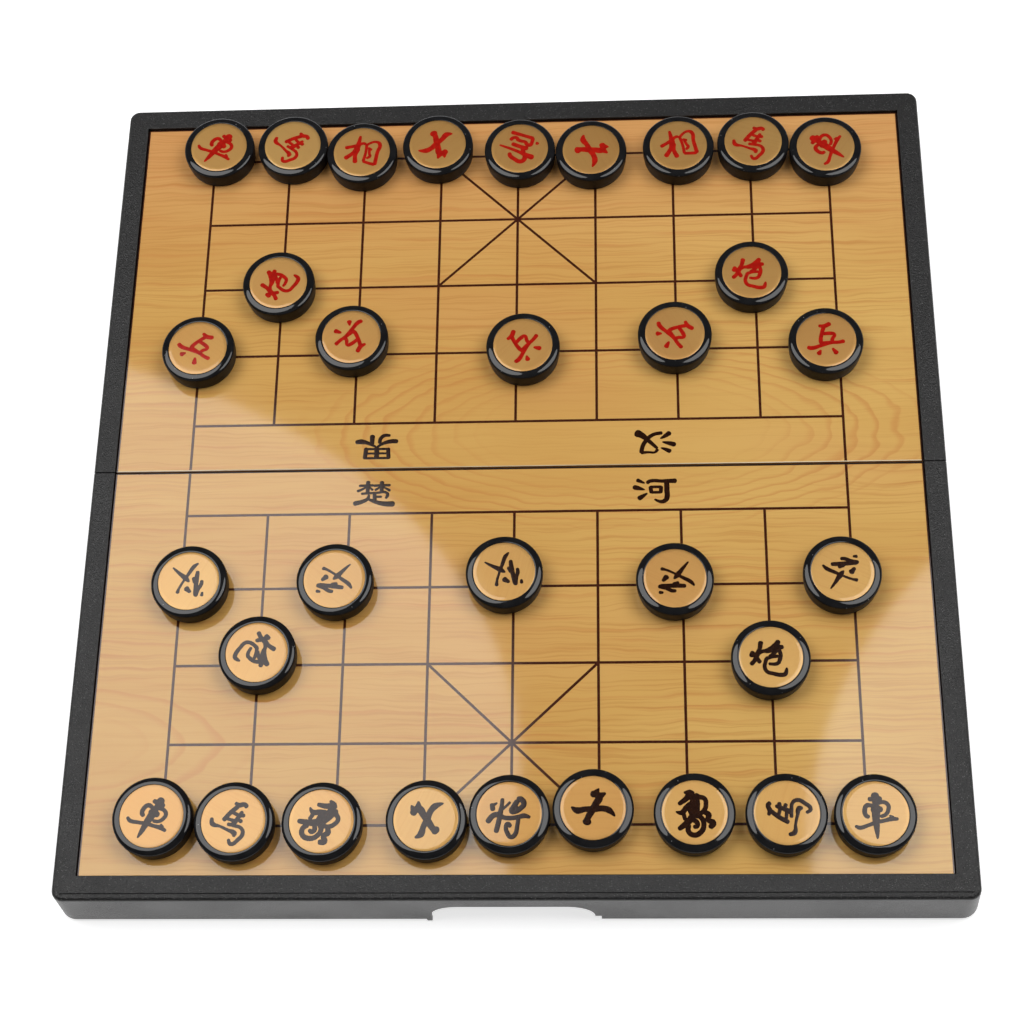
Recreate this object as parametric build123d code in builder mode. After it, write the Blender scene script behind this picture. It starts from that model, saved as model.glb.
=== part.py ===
from build123d import *
from math import radians, tan
import os

# Folding magnetic xiangqi box, opened flat with the playing faces up.
# Millimetres. +X runs along the seam to the right, +Y away from the near player, +Z up.
# The origin is on the table, under the middle of the seam where the two halves meet.

os.makedirs("parts", exist_ok=True)

# Half case: a drafted tray that stands rim down, both halves from one mould
CASE_HEIGHT = 16.5
DRAFT_ANGLE = 5.6
WALL = 2.2
SEAM_WALL = 3.2
WEB = 1.6
CORNER_R = 4.6
SEAM_EDGE_R = 0.35
TOP_EDGE_R = 1.0
SIDE_FRAME = 6.2
END_FRAME = 6.6
FRAME_PROUD = 0.9
GROOVE_INSET = 1.5
GROOVE_WIDTH = 0.5
GROOVE_DEPTH = 0.5
GROOVE_END = 2.2

# Steel sheet and printed panel that lie in the pocket of each half
STEEL_THICK = 0.4
PANEL_THICK = 0.6
PANEL_GAP = 0.3

# Finger notch, and the closing peg and socket that stand at its two ends
NOTCH_WIDTH = 44.2
NOTCH_HEIGHT = 10.4
NOTCH_R = 7.5
PEG_WIDTH = 1.4
PEG_THICK = 1.2
PEG_GAP = 0.3

# Hinge: interleaved knuckles on the seam, their axis level with the rims
HINGE_INSET = 39.2
KNUCKLE_R = 2.2
KNUCKLE_LENGTH = 7.0
KNUCKLE_COUNT = 4
KNUCKLE_GAP = 0.3
PIN_R = 0.7
PIN_CLEARANCE = 0.05

# Printed grid: the room it leaves between neighbouring pieces, its files to either side of the
# middle one, its ranks behind the river bank, its river and its margins
FILE_GAP = 2.0
RANK_GAP = 1.1
SIDE_FILE_COUNT = 4
BACK_RANK_COUNT = 4
RIVER_WIDTH = 28.4
PRINT_SHIFT = 0.8
SIDE_MARGIN = 22.0
BACK_GAP = 2.4

# Playing pieces
PUCK_R = 10.8
PUCK_HEIGHT = 6.35
FOOT_R = 9.5
FLARE_HEIGHT = 3.8
SHOULDER_DROP = 0.7
LABEL_R = 8.6
LABEL_THICK = 0.6
LABEL_DROP = 0.25
LABEL_GAP = 0.1
MAGNET_SIDE = 8.0
MAGNET_THICK = 2.0
MAGNET_DROP = 0.2
MAGNET_GAP = 0.1

# Worked out from the sizes above
FILE_PITCH = 2 * PUCK_R + FILE_GAP
RANK_PITCH = 2 * PUCK_R + RANK_GAP
FAR_BANK_Y = RIVER_WIDTH / 2 + PRINT_SHIFT
NEAR_BANK_Y = PRINT_SHIFT - RIVER_WIDTH / 2
DRAFT = CASE_HEIGHT * tan(radians(DRAFT_ANGLE))
POCKET_WIDTH = 2 * (SIDE_FILE_COUNT * FILE_PITCH + SIDE_MARGIN)
POCKET_DEPTH = RIVER_WIDTH / 2 + BACK_RANK_COUNT * RANK_PITCH + PUCK_R + BACK_GAP
TOP_WIDTH = POCKET_WIDTH + 2 * SIDE_FRAME
TOP_DEPTH = POCKET_DEPTH + END_FRAME
RIM_WIDTH = TOP_WIDTH + 2 * DRAFT
RIM_DEPTH = TOP_DEPTH + DRAFT
HINGE_X = RIM_WIDTH / 2 - HINGE_INSET
RIM_Z = KNUCKLE_R
TOP_Z = RIM_Z + CASE_HEIGHT
BOARD_Z = TOP_Z - FRAME_PROUD
POCKET_Z = BOARD_Z - PANEL_THICK - STEEL_THICK
CAVITY_Z = POCKET_Z - WEB
KNUCKLE_STEP = KNUCKLE_LENGTH + KNUCKLE_GAP
PIN_LENGTH = KNUCKLE_COUNT * KNUCKLE_STEP - KNUCKLE_GAP
LABEL_SEAT = PUCK_HEIGHT - LABEL_DROP - LABEL_THICK
LABEL_SEAT_R = LABEL_R + LABEL_GAP
ON_SEAM = (Align.CENTER, Align.MAX)


def knuckle_planes(own):
    """Planes across the hinge line at the near half's own knuckles, or at the far half's."""
    first = 0 if own else 1
    middle = (KNUCKLE_COUNT - 1) / 2
    return [
        Plane((station + (slot - middle) * KNUCKLE_STEP, 0, RIM_Z), z_dir=(1, 0, 0))
        for station in (-HINGE_X, HINGE_X)
        for slot in range(first, KNUCKLE_COUNT, 2)
    ]


# ---- the half case: drafted shell with frame, pocket, storage hollow and finger notch
with BuildPart() as half_case:
    with BuildSketch(Plane.XY.offset(RIM_Z)):
        RectangleRounded(RIM_WIDTH, 2 * RIM_DEPTH, CORNER_R)
    extrude(amount=CASE_HEIGHT, taper=DRAFT_ANGLE)
    fillet(half_case.faces().sort_by(Axis.Z)[-1].edges(), radius=TOP_EDGE_R)
    split(bisect_by=Plane.XZ, keep=Keep.TOP)
    seam_face = half_case.faces().sort_by(Axis.Y)[-1]
    fillet(seam_face.edges() - seam_face.edges().group_by(Axis.Z)[0], radius=SEAM_EDGE_R)

    # Storage hollow, open at the rim and drafted like the outside
    with BuildSketch(Plane.XY.offset(RIM_Z)):
        with Locations((0, -SEAM_WALL)):
            Rectangle(RIM_WIDTH - 2 * WALL, RIM_DEPTH - WALL - SEAM_WALL, align=ON_SEAM)
    extrude(amount=CAVITY_Z - RIM_Z, taper=DRAFT_ANGLE, mode=Mode.SUBTRACT)

    # Pocket for the steel sheet and the panel, open at the seam
    with BuildSketch(Plane.XY.offset(POCKET_Z)):
        Rectangle(POCKET_WIDTH, POCKET_DEPTH, align=ON_SEAM)
    extrude(amount=TOP_Z - POCKET_Z, mode=Mode.SUBTRACT)

    # Finger notch through the outer wall
    with BuildSketch(Plane.XZ.offset(RIM_DEPTH)) as notch:
        with Locations((0, RIM_Z)):
            Rectangle(NOTCH_WIDTH, NOTCH_HEIGHT, align=(Align.CENTER, Align.MIN))
        fillet(notch.vertices().group_by(Axis.Y)[-1], radius=NOTCH_R)
    extrude(amount=-(WALL + DRAFT), mode=Mode.SUBTRACT)

    # Closing peg at the left end of the notch, down to the table
    with Locations((-NOTCH_WIDTH / 2, -RIM_DEPTH, 0)):
        Box(PEG_WIDTH, PEG_THICK, RIM_Z, align=(Align.MAX, Align.MIN, Align.MIN))

    # Socket at the right end, for the other half's peg
    with Locations((NOTCH_WIDTH / 2, -RIM_DEPTH, RIM_Z)):
        Box(
            PEG_WIDTH + PEG_GAP,
            PEG_THICK + PEG_GAP,
            RIM_Z + PEG_GAP,
            align=(Align.MIN, Align.MIN, Align.MIN),
            mode=Mode.SUBTRACT,
        )

    # Hinge: room for the other half's knuckles, then this half's own, then the pin bore
    with Locations(*knuckle_planes(own=False)):
        Cylinder(KNUCKLE_R + KNUCKLE_GAP, KNUCKLE_LENGTH + 2 * KNUCKLE_GAP, mode=Mode.SUBTRACT)
    with Locations(*knuckle_planes(own=True)):
        Cylinder(KNUCKLE_R, KNUCKLE_LENGTH)
    with Locations(*knuckle_planes(own=True)):
        Cylinder(PIN_R + PIN_CLEARANCE, KNUCKLE_LENGTH, mode=Mode.SUBTRACT)

# ---- the near half: the moulding with a fine groove along its outer edge
with BuildPart() as near_case:
    add(half_case.part)
    with Locations((0, GROOVE_INSET - TOP_DEPTH, TOP_Z)):
        Box(
            TOP_WIDTH - 2 * GROOVE_END,
            GROOVE_WIDTH,
            GROOVE_DEPTH,
            align=(Align.CENTER, Align.MIN, Align.MAX),
            mode=Mode.SUBTRACT,
        )
near_case.part.label = "near_case"
export_step(near_case.part, "parts/near_case.step")

# ---- the far half: the same moulding turned half a turn about the vertical
with BuildPart() as far_case:
    add(half_case.part, rotation=(0, 0, 180))
far_case.part.label = "far_case"
export_step(far_case.part, "parts/far_case.step")


def sheet_part(low_z, thick):
    """A sheet in the near pocket, a gap clear of the frame and of the seam."""
    with BuildPart() as sheet:
        with Locations((0, -PANEL_GAP, low_z)):
            Box(
                POCKET_WIDTH - 2 * PANEL_GAP,
                POCKET_DEPTH - 2 * PANEL_GAP,
                thick,
                align=(Align.CENTER, Align.MAX, Align.MIN),
            )
    return sheet.part


# ---- steel sheets and printed panels, one of each in either half
for half, turn in (("near", 0), ("far", 180)):
    for layer, low_z, thick in (
        ("steel_sheet", POCKET_Z, STEEL_THICK),
        ("panel", POCKET_Z + STEEL_THICK, PANEL_THICK),
    ):
        with BuildPart() as laid_sheet:
            add(sheet_part(low_z, thick), rotation=(0, 0, turn))
        laid_sheet.part.label = f"{half}_{layer}"
        export_step(laid_sheet.part, f"parts/{half}_{layer}.step")

# ---- hinge pins, one through each group of knuckles
for side, x in (("left", -HINGE_X), ("right", HINGE_X)):
    with BuildPart() as hinge_pin:
        with Locations(Plane((x, 0, RIM_Z), z_dir=(1, 0, 0))):
            Cylinder(PIN_R, PIN_LENGTH)
    hinge_pin.part.label = f"{side}_hinge_pin"
    export_step(hinge_pin.part, f"parts/{side}_hinge_pin.step")


# ---- playing pieces: a moulded puck with a label let into its top and a magnet into its base
def puck_body(centre):
    """Moulded body turned about its own axis: flared side, sloped shoulder, and the two seats."""
    with BuildPart() as body:
        with BuildSketch(Plane(centre, x_dir=(1, 0, 0), z_dir=(0, -1, 0))):
            with BuildLine():
                Polyline(
                    (0, 0),
                    (FOOT_R, 0),
                    (PUCK_R, FLARE_HEIGHT),
                    (PUCK_R, PUCK_HEIGHT - SHOULDER_DROP),
                    (LABEL_SEAT_R, PUCK_HEIGHT),
                    (LABEL_SEAT_R, LABEL_SEAT),
                    (0, LABEL_SEAT),
                    close=True,
                )
            make_face()
        revolve(axis=Axis(centre, (0, 0, 1)))
        with BuildSketch(Plane(centre)):
            Rectangle(MAGNET_SIDE + 2 * MAGNET_GAP, MAGNET_SIDE + 2 * MAGNET_GAP)
        extrude(amount=MAGNET_DROP + MAGNET_THICK, mode=Mode.SUBTRACT)
    return body.part


def puck_label(centre):
    """Printed disc that lies in the top seat, a little below the shoulder's inner edge."""
    with BuildPart() as label_disc:
        with BuildSketch(Plane(centre).offset(LABEL_SEAT)):
            Circle(LABEL_R)
        extrude(amount=LABEL_THICK)
    return label_disc.part


def puck_magnet(centre):
    """Square-cut magnet against the roof of the base seat."""
    with BuildPart() as magnet:
        with BuildSketch(Plane(centre).offset(MAGNET_DROP)):
            Rectangle(MAGNET_SIDE, MAGNET_SIDE)
        extrude(amount=MAGNET_THICK)
    return magnet.part


# Kind and place, file from the middle and rank from the river bank on its own half, and how far it
# is set down off that crossing, to the right and away from the near player, as shares of a file
RED_PIECES = [
    ("chariot_left", -4, 4, 0.091, 0.063),
    ("horse_left", -3, 4, 0.063, 0.063),
    ("elephant_left", -2, 4, -0.025, -0.065),
    ("advisor_left", -1, 4, -0.037, 0.025),
    ("general", 0, 4, 0.031, -0.068),
    ("advisor_right", 1, 4, -0.047, -0.113),
    ("elephant_right", 2, 4, 0.076, -0.078),
    ("horse_right", 3, 4, 0.035, -0.044),
    ("chariot_right", 4, 4, -0.045, -0.145),
    ("cannon_left", -3, 2, -0.009, -0.059),
    ("cannon_right", 3, 2, -0.053, -0.047),
    ("soldier_1", -4, 1, 0.027, -0.009),
    ("soldier_2", -2, 1, -0.046, 0.109),
    ("soldier_3", 0, 1, 0.096, -0.049),
    ("soldier_4", 2, 1, -0.027, 0.076),
    ("soldier_5", 4, 1, -0.180, -0.054),
]
BLACK_PIECES = [
    ("soldier_1", -4, 1, 0.148, 0.000),
    ("soldier_2", -2, 1, -0.109, 0.005),
    ("soldier_3", 0, 1, -0.099, 0.073),
    ("soldier_4", 2, 1, -0.094, -0.034),
    ("soldier_5", 4, 1, -0.145, 0.024),
    ("cannon_left", -3, 2, 0.020, 0.059),
    ("cannon_right", 3, 2, -0.017, -0.054),
    ("chariot_left", -4, 4, -0.062, 0.038),
    ("horse_left", -3, 4, -0.123, -0.021),
    ("elephant_left", -2, 4, -0.121, -0.029),
    ("advisor_left", -1, 4, 0.058, -0.009),
    ("general", 0, 4, -0.006, 0.048),
    ("advisor_right", 1, 4, -0.067, 0.111),
    ("elephant_right", 2, 4, 0.065, 0.055),
    ("horse_right", 3, 4, 0.085, 0.045),
    ("chariot_right", 4, 4, 0.065, 0.033),
]

for side, bank_y, rank_step, playing_pieces in (
    ("red", FAR_BANK_Y, RANK_PITCH, RED_PIECES),
    ("black", NEAR_BANK_Y, -RANK_PITCH, BLACK_PIECES),
):
    for kind, file, rank, aside, ahead in playing_pieces:
        stand = ((file + aside) * FILE_PITCH, bank_y + rank * rank_step + ahead * FILE_PITCH, BOARD_Z)
        piece = Compound(
            label=f"{side}_{kind}",
            children=[puck_body(stand), puck_label(stand), puck_magnet(stand)],
        )
        export_step(piece, f"parts/{side}_{kind}.step")
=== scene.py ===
"""Looks of the folding Chinese chess box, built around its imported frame. Metres, +Z up."""

import logging
import math
import random
from collections.abc import Sequence
from dataclasses import dataclass, field
from enum import Enum, IntEnum

import bmesh
import bpy
from mathutils import Matrix, Vector
from mathutils.geometry import interpolate_bezier


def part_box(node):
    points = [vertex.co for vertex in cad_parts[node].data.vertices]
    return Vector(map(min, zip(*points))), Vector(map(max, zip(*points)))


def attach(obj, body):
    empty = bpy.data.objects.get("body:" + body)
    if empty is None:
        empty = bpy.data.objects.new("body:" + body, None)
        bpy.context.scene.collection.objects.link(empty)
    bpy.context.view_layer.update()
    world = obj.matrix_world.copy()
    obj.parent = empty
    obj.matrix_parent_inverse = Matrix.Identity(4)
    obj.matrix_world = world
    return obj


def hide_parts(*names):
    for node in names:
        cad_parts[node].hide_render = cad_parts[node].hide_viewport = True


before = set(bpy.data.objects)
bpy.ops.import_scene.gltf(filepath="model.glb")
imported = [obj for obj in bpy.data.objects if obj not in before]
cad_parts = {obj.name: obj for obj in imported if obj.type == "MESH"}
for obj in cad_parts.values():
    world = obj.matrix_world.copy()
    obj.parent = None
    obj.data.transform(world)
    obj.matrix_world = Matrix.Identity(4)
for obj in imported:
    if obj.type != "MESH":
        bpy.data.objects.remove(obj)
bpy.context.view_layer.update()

log = logging.getLogger("chess_box")

MM = 0.001

WHITE = (1.0, 1.0, 1.0, 1.0)
# Points of a shape that are nearer to one another than this are one point
SAME_PLACE = 0.001 * MM
# The map that lays the wood print on a label
PRINT_MAP = "Print"

Socket = bpy.types.NodeSocket
# What feeds a socket: a number or another socket
Feed = float | Socket
Colour = tuple[float, float, float]
Place = tuple[float, float, float]
Spot = tuple[float, float]
Span = tuple[float, float]
# A turned outline: (radius, height) in millimetres
Outline = tuple[Spot, ...]
# A brush stroke: (x, y, width) in millimetres about the middle of the character, y up
Stroke = tuple[tuple[float, float, float], ...]


class Half(Enum):
    """The two halves of the box: name, side of the seam and the y of the river bank in mm."""

    NEAR = ("near", -1, -13.75)
    FAR = ("far", 1, 14.8)

    def __init__(self, word: str, side: int, bank: float) -> None:
        """Keeps the half's word, its side of the seam and its bank."""
        self.word = word
        self.side = side
        self.bank = bank


class Army(Enum):
    """The two sets of pieces, with the half that each stands on."""

    RED = ("red", Half.FAR)
    BLACK = ("black", Half.NEAR)

    def __init__(self, word: str, half: Half) -> None:
        """Keeps the army's word and its half."""
        self.word = word
        self.half = half


class Character(Enum):
    """The traditional characters of the game, on the pieces and on the river."""

    CHARIOT = "chariot"
    HORSE = "horse"
    RED_ELEPHANT = "red_elephant"
    BLACK_ELEPHANT = "black_elephant"
    ADVISOR = "advisor"
    RED_GENERAL = "red_general"
    BLACK_GENERAL = "black_general"
    CANNON = "cannon"
    RED_SOLDIER = "red_soldier"
    BLACK_SOLDIER = "black_soldier"
    CHU = "chu"
    RIVER = "river"
    HAN = "han"
    BORDER = "border"


BRUSHWORK: dict[Character, tuple[Stroke, ...]] = {
    Character.CHARIOT: (
        ((0.0, 5.2, 1.7), (0.0, 4.4, 1.8), (0.0, 3.4, 1.4), (0.0, 2.4, 1.3)),
        ((-1.7, 3.8, 1.0), (1.5, 3.9, 1.1)),
        ((-0.8, 2.1, 0.9), (-2.3, 2.1, 1.0), (-2.9, 0.9, 1.0), (-2.6, -0.6, 1.0),
         (-1.9, -1.0, 0.9)),
        ((0.5, 2.7, 0.8), (2.1, 3.0, 0.9), (3.2, 2.3, 0.9), (3.3, 1.2, 0.9), (2.5, -0.3, 0.8),
         (1.2, -0.9, 0.8)),
        ((-1.0, 0.8, 1.3), (0.2, 1.1, 2.1), (1.5, 1.1, 1.3)),
        ((0.0, 2.6, 1.3), (0.0, 0.6, 1.8), (-0.1, -2.0, 1.5), (0.0, -4.5, 1.1), (0.0, -6.7, 0.4)),
        ((-5.5, -3.4, 0.7), (-4.4, -3.8, 0.9), (-2.3, -3.2, 0.8), (0.0, -2.4, 0.9),
         (2.2, -1.9, 0.8), (3.9, -1.5, 1.0), (5.6, -1.5, 0.7)),
        ((3.5, -0.6, 0.5), (4.3, -1.3, 1.0)),
    ),
    Character.HORSE: (
        ((-1.7, 4.5, 0.8), (-0.6, 4.4, 1.1), (0.8, 5.2, 1.0), (1.6, 4.9, 1.0)),
        ((-0.6, 4.1, 1.0), (-1.7, 1.6, 1.0), (-2.4, -0.9, 1.0)),
        ((-1.3, 2.0, 0.8), (0.8, 2.0, 0.8), (2.1, 2.5, 0.9)),
        ((1.1, 3.2, 0.8), (0.8, 1.0, 1.0), (0.4, -1.2, 1.2)),
        ((1.0, 0.9, 0.8), (2.2, 0.7, 0.9)),
        ((-2.0, -0.2, 0.7), (0.8, 0.2, 0.8)),
        ((-0.9, -1.4, 0.8), (1.0, -1.0, 0.8), (3.0, -0.9, 0.8), (4.0, -2.0, 0.9),
         (3.6, -4.0, 0.9), (2.4, -5.8, 0.9), (1.2, -5.0, 0.7)),
        ((-5.6, -1.8, 0.8), (-4.7, -3.0, 1.1), (-2.5, -2.8, 0.6), (0.0, -2.8, 0.7),
         (1.9, -2.9, 1.2), (2.2, -3.6, 0.8)),
    ),
    Character.RED_ELEPHANT: (
        ((-2.6, 5.0, 0.7), (-2.2, 3.0, 1.0), (-1.9, 1.0, 1.5), (-2.3, -1.2, 1.0),
         (-3.8, -3.9, 1.2)),
        ((-5.2, -0.4, 1.0), (-3.8, 0.5, 0.9), (-2.0, 1.8, 0.9), (-0.6, 3.0, 0.8), (0.0, 3.0, 0.8)),
        ((-1.6, 0.6, 1.4), (-1.4, -1.8, 1.0), (-0.4, -4.2, 1.2)),
        ((0.4, 3.0, 0.8), (1.2, 0.5, 0.7), (1.8, -2.9, 0.8)),
        ((0.4, 2.8, 0.7), (2.6, 4.8, 0.7), (4.1, 4.5, 1.0), (4.6, 1.5, 0.9), (5.6, -2.8, 1.0)),
        ((1.8, -3.0, 0.8), (3.6, -3.0, 0.85), (5.4, -2.9, 0.9)),
        ((1.4, 2.0, 0.7), (2.6, 1.7, 0.7)),
        ((1.8, 1.9, 0.7), (2.5, 0.2, 0.7), (3.0, -0.6, 0.8), (2.4, -1.6, 0.7)),
    ),
    Character.BLACK_ELEPHANT: (
        ((-2.6, 5.3, 0.7), (-1.2, 5.3, 1.3), (-0.2, 5.1, 1.0)),
        ((-1.1, 4.9, 1.5), (-2.2, 3.6, 1.2), (-4.1, 2.2, 0.9)),
        ((0.2, 4.6, 1.2), (1.2, 4.1, 1.1), (2.6, 3.7, 1.0), (3.0, 2.0, 1.0), (2.4, 0.4, 1.0),
         (1.2, -0.6, 1.0)),
        ((-0.5, 4.4, 1.3), (-0.4, 2.6, 1.4), (-0.6, 0.8, 1.4), (-0.7, -0.8, 1.4)),
        ((0.5, 4.3, 1.1), (0.7, 2.6, 1.2), (0.5, 0.8, 1.4), (0.3, -0.8, 1.4)),
        ((-4.9, 0.1, 0.4), (-3.4, -0.1, 1.15), (-2.2, 1.2, 1.2), (-0.9, 2.4, 1.2)),
        ((-3.0, -0.3, 0.9), (-2.5, -2.0, 0.9)),
        ((-1.7, 1.4, 0.9), (-0.9, -0.2, 1.1)),
        ((-0.4, -1.0, 1.6), (-1.8, -2.6, 1.4), (-4.2, -4.5, 1.0)),
        ((-0.2, -0.8, 1.1), (1.6, -1.4, 1.1), (2.3, -3.5, 1.1), (1.3, -5.5, 1.15),
         (-0.5, -6.1, 1.15), (-1.8, -5.0, 1.1), (-1.7, -3.4, 1.1)),
        ((-0.5, -2.0, 1.0), (0.5, -2.7, 1.1), (0.5, -3.7, 1.1), (-0.3, -4.0, 0.9)),
        ((2.6, 0.1, 1.1), (3.6, -0.7, 1.3), (3.5, -2.1, 1.1), (4.8, -2.9, 1.3), (4.0, -4.1, 1.2)),
    ),
    Character.ADVISOR: (
        ((-0.3, 3.8, 1.5), (0.9, 3.6, 1.5), (1.6, 2.9, 1.7), (0.7, 1.0, 1.45), (-0.4, -1.0, 1.5),
         (-1.4, -2.8, 1.3), (-1.7, -4.2, 1.9)),
        ((0.8, 4.0, 1.3), (1.6, 5.2, 0.3)),
        ((1.9, 3.2, 1.4), (3.3, 3.9, 0.6)),
        ((-5.7, 0.2, 0.5), (-4.2, -0.7, 1.5), (-2.2, -0.4, 1.2), (0.0, -0.4, 1.4),
         (2.5, -0.2, 1.3), (4.2, -0.7, 1.4), (5.8, -2.3, 0.35)),
    ),
    Character.RED_GENERAL: (
        ((-4.4, 3.1, 1.0), (-4.7, 0.0, 0.9), (-5.0, -3.8, 1.1)),
        ((-4.4, 3.0, 1.0), (-3.0, 3.1, 0.9), (-1.9, 2.8, 1.1), (-1.8, 1.9, 1.0),
         (-2.6, 1.0, 0.9), (-2.6, 0.2, 0.9), (-2.8, -1.2, 1.0), (-3.4, -1.9, 0.9),
         (-3.2, -2.9, 0.9), (-2.3, -3.5, 1.0)),
        ((-3.3, 4.5, 0.6), (-2.7, 4.9, 1.0)),
        ((-1.0, -2.6, 1.1), (-0.6, 0.0, 1.1), (-0.4, 2.3, 1.2)),
        ((-0.3, 0.9, 1.1), (0.8, 1.3, 1.2), (1.8, 1.7, 1.2)),
        ((2.3, 4.7, 1.5), (1.9, 2.4, 1.3), (1.4, 0.5, 0.9), (0.8, -2.6, 0.8), (0.3, -6.2, 0.5)),
        ((1.9, 2.4, 1.2), (3.8, 2.3, 1.2), (4.6, 1.2, 1.2), (4.1, -0.5, 1.1), (3.3, -2.1, 1.1),
         (2.4, -2.6, 1.0)),
    ),
    Character.BLACK_GENERAL: (
        ((-4.6, 2.6, 1.0), (-4.3, 1.0, 1.1)),
        ((-4.4, 2.2, 0.8), (-3.2, 2.9, 0.4)),
        ((-1.8, 4.0, 0.8), (-2.0, 2.0, 0.9), (-2.3, 0.4, 1.1), (-2.6, -1.5, 1.1),
         (-3.0, -3.3, 1.1), (-3.4, -4.9, 1.1)),
        ((-5.7, -2.2, 1.2), (-4.2, -0.5, 1.2), (-2.6, -0.1, 1.2)),
        ((-2.2, 0.8, 0.6), (-0.6, 2.2, 0.6), (0.2, 3.1, 0.6)),
        ((-2.5, -0.3, 0.9), (-1.5, -1.0, 1.0), (0.5, -1.2, 1.0), (2.5, -0.9, 1.0),
         (4.0, -0.6, 1.1), (5.5, -1.0, 0.7)),
        ((2.2, 4.0, 1.1), (3.0, 3.9, 1.3), (3.9, 2.7, 1.2), (3.0, 1.4, 1.1), (1.6, 0.5, 1.0),
         (0.6, 0.6, 1.0), (1.2, 1.9, 1.1), (2.2, 3.4, 1.2)),
        ((1.5, 2.0, 1.0), (2.4, 1.2, 0.9)),
        ((2.5, -0.8, 0.9), (2.2, -3.2, 0.9), (1.6, -5.6, 1.0), (0.6, -6.3, 1.0),
         (-0.4, -5.2, 1.0), (-0.8, -3.6, 0.9), (-0.4, -2.7, 0.9), (0.4, -3.4, 1.0)),
    ),
    Character.CANNON: (
        ((-2.6, 4.3, 1.1), (-3.0, 2.3, 0.95), (-3.7, 0.7, 1.2), (-4.4, -0.9, 0.95),
         (-5.4, -2.1, 1.0)),
        ((-4.9, 1.5, 1.0), (-5.2, 0.2, 1.2)),
        ((-3.9, -0.2, 1.0), (-3.0, -1.6, 0.95)),
        ((-5.0, 0.5, 1.0), (-3.4, 1.0, 0.9), (-2.2, 1.6, 0.85), (-1.2, 1.7, 0.95)),
        ((2.2, 4.5, 1.1), (1.2, 3.0, 1.5), (-0.2, 2.0, 1.4), (-1.5, 1.6, 1.1)),
        ((1.2, 2.7, 1.3), (2.2, 2.7, 1.2), (3.3, 2.8, 1.0)),
        ((1.6, 2.3, 1.3), (0.7, 0.9, 0.9), (-0.4, 0.1, 0.8)),
        ((-1.3, -0.5, 0.9), (0.2, 0.0, 0.8), (1.9, 0.2, 0.8)),
        ((2.3, 2.0, 0.9), (2.6, 0.4, 0.9), (2.2, -1.3, 0.95)),
        ((2.3, -1.4, 0.9), (1.4, -2.0, 0.85), (-0.6, -2.0, 0.7)),
        ((-1.2, -0.4, 0.9), (-1.6, -1.6, 0.85), (-1.8, -3.0, 0.9), (-1.2, -4.2, 0.9),
         (0.4, -4.75, 0.9), (2.6, -5.15, 1.0), (3.6, -4.9, 1.0), (4.0, -3.9, 0.8),
         (4.1, -3.2, 0.5)),
    ),
    Character.RED_SOLDIER: (
        ((-1.9, 4.5, 0.8), (-0.4, 4.4, 1.1), (1.3, 5.2, 1.1)),
        ((-0.5, 4.2, 1.0), (-1.2, 2.0, 0.9), (-1.6, -0.4, 1.0), (-1.5, -1.4, 0.9)),
        ((-0.9, 1.9, 0.9), (1.4, 2.0, 1.0), (2.4, 1.7, 0.8), (1.8, 0.2, 0.9), (1.6, -1.0, 0.9)),
        ((-1.0, -1.0, 0.8), (1.2, -0.9, 0.8)),
        ((-5.4, -2.5, 1.0), (-4.4, -2.7, 1.1), (-1.5, -1.9, 0.9), (1.5, -1.0, 0.9),
         (3.5, -0.9, 0.9), (5.1, -0.6, 1.0)),
        ((-1.7, -3.4, 0.5), (-2.4, -4.7, 1.2)),
        ((1.7, -2.9, 0.6), (2.8, -4.5, 1.2)),
    ),
    Character.BLACK_SOLDIER: (
        ((0.95, 5.35, 0.6), (1.9, 5.75, 0.8)),
        ((-1.9, 3.3, 0.8), (-1.0, 3.7, 0.9), (0.8, 3.8, 0.9), (2.8, 4.2, 1.0)),
        ((2.5, 3.9, 0.9), (0.6, 2.9, 1.0), (-1.2, 1.9, 1.1), (-3.6, 0.75, 0.9)),
        ((-1.5, 0.8, 0.9), (-0.4, 1.9, 0.9)),
        ((2.6, 2.3, 0.8), (2.35, 1.3, 1.1), (2.15, 0.6, 1.3)),
        ((-5.7, -0.5, 0.5), (-4.4, -1.0, 0.95), (-2.0, -1.1, 0.85), (0.5, -1.15, 0.55),
         (3.4, -1.0, 0.6), (4.6, -0.7, 0.85)),
        ((0.15, 0.3, 0.5), (-0.2, -1.1, 1.35), (-0.45, -2.6, 0.95), (-0.6, -3.6, 0.8),
         (-1.1, -6.0, 0.35)),
    ),
    Character.CHU: (
        ((-4.9, 2.0, 0.65), (-0.9, 2.1, 0.65)),
        ((-2.4, 3.3, 1.0), (-2.45, -0.1, 0.9)),
        ((-2.9, 1.6, 0.5), (-4.2, 0.8, 0.6), (-5.4, 0.3, 0.7)),
        ((-2.0, 1.6, 0.4), (-1.0, 0.6, 0.6)),
        ((-0.7, 2.0, 0.65), (4.0, 2.1, 0.65)),
        ((1.6, 3.2, 1.0), (1.6, -0.1, 0.9)),
        ((1.3, 1.6, 0.5), (-0.3, 0.6, 0.6)),
        ((1.9, 1.6, 0.4), (4.0, 0.4, 0.7)),
        ((-4.2, -0.5, 0.6), (0.0, -0.3, 0.6), (3.2, -0.4, 0.7), (3.3, -1.2, 0.8),
         (2.9, -2.0, 0.6)),
        ((-0.45, -0.3, 0.9), (-0.3, -2.9, 0.9)),
        ((-0.3, -1.5, 0.6), (1.6, -1.5, 0.6)),
        ((-2.0, -0.9, 0.6), (-2.3, -2.0, 0.8), (-4.0, -3.0, 1.0), (-6.2, -3.6, 1.2)),
        ((-2.2, -2.2, 0.6), (-0.3, -3.0, 0.9), (2.3, -3.7, 1.2), (5.2, -3.8, 1.4)),
    ),
    Character.RIVER: (
        ((-5.0, 3.2, 1.0), (-2.9, 2.2, 0.4)),
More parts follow.
